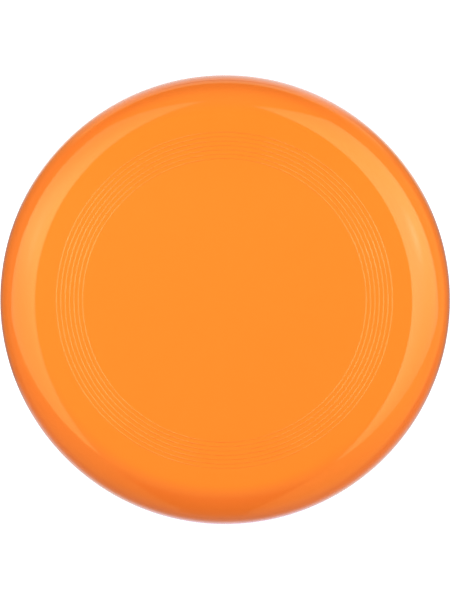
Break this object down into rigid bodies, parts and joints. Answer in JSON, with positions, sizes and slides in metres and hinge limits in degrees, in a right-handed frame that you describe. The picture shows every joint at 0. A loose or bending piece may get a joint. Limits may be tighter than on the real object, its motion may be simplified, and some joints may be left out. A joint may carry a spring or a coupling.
{
  "type": "flying disc",
  "caption": "Thin-walled throwing disc with a flat round top, fine raised flight rings, a rounded shoulder and a thickened rim lip, open underneath.",
  "frame": {"origin": "centre of the circle that the disc rests on, at the level of the rim's foot", "axes": "+Z is the disc's axis of revolution, pointing up out of the flight plate; X and Y lie in the resting plane and are interchangeable, because the disc is round"},
  "size_m": [0.23, 0.23, 0.0281],
  "materials": {
    "disc_plastic": "gloss"
  },
  "bodies": {
    "root": {"disc_shell": "disc_plastic"}
  },
  "joints": []
}
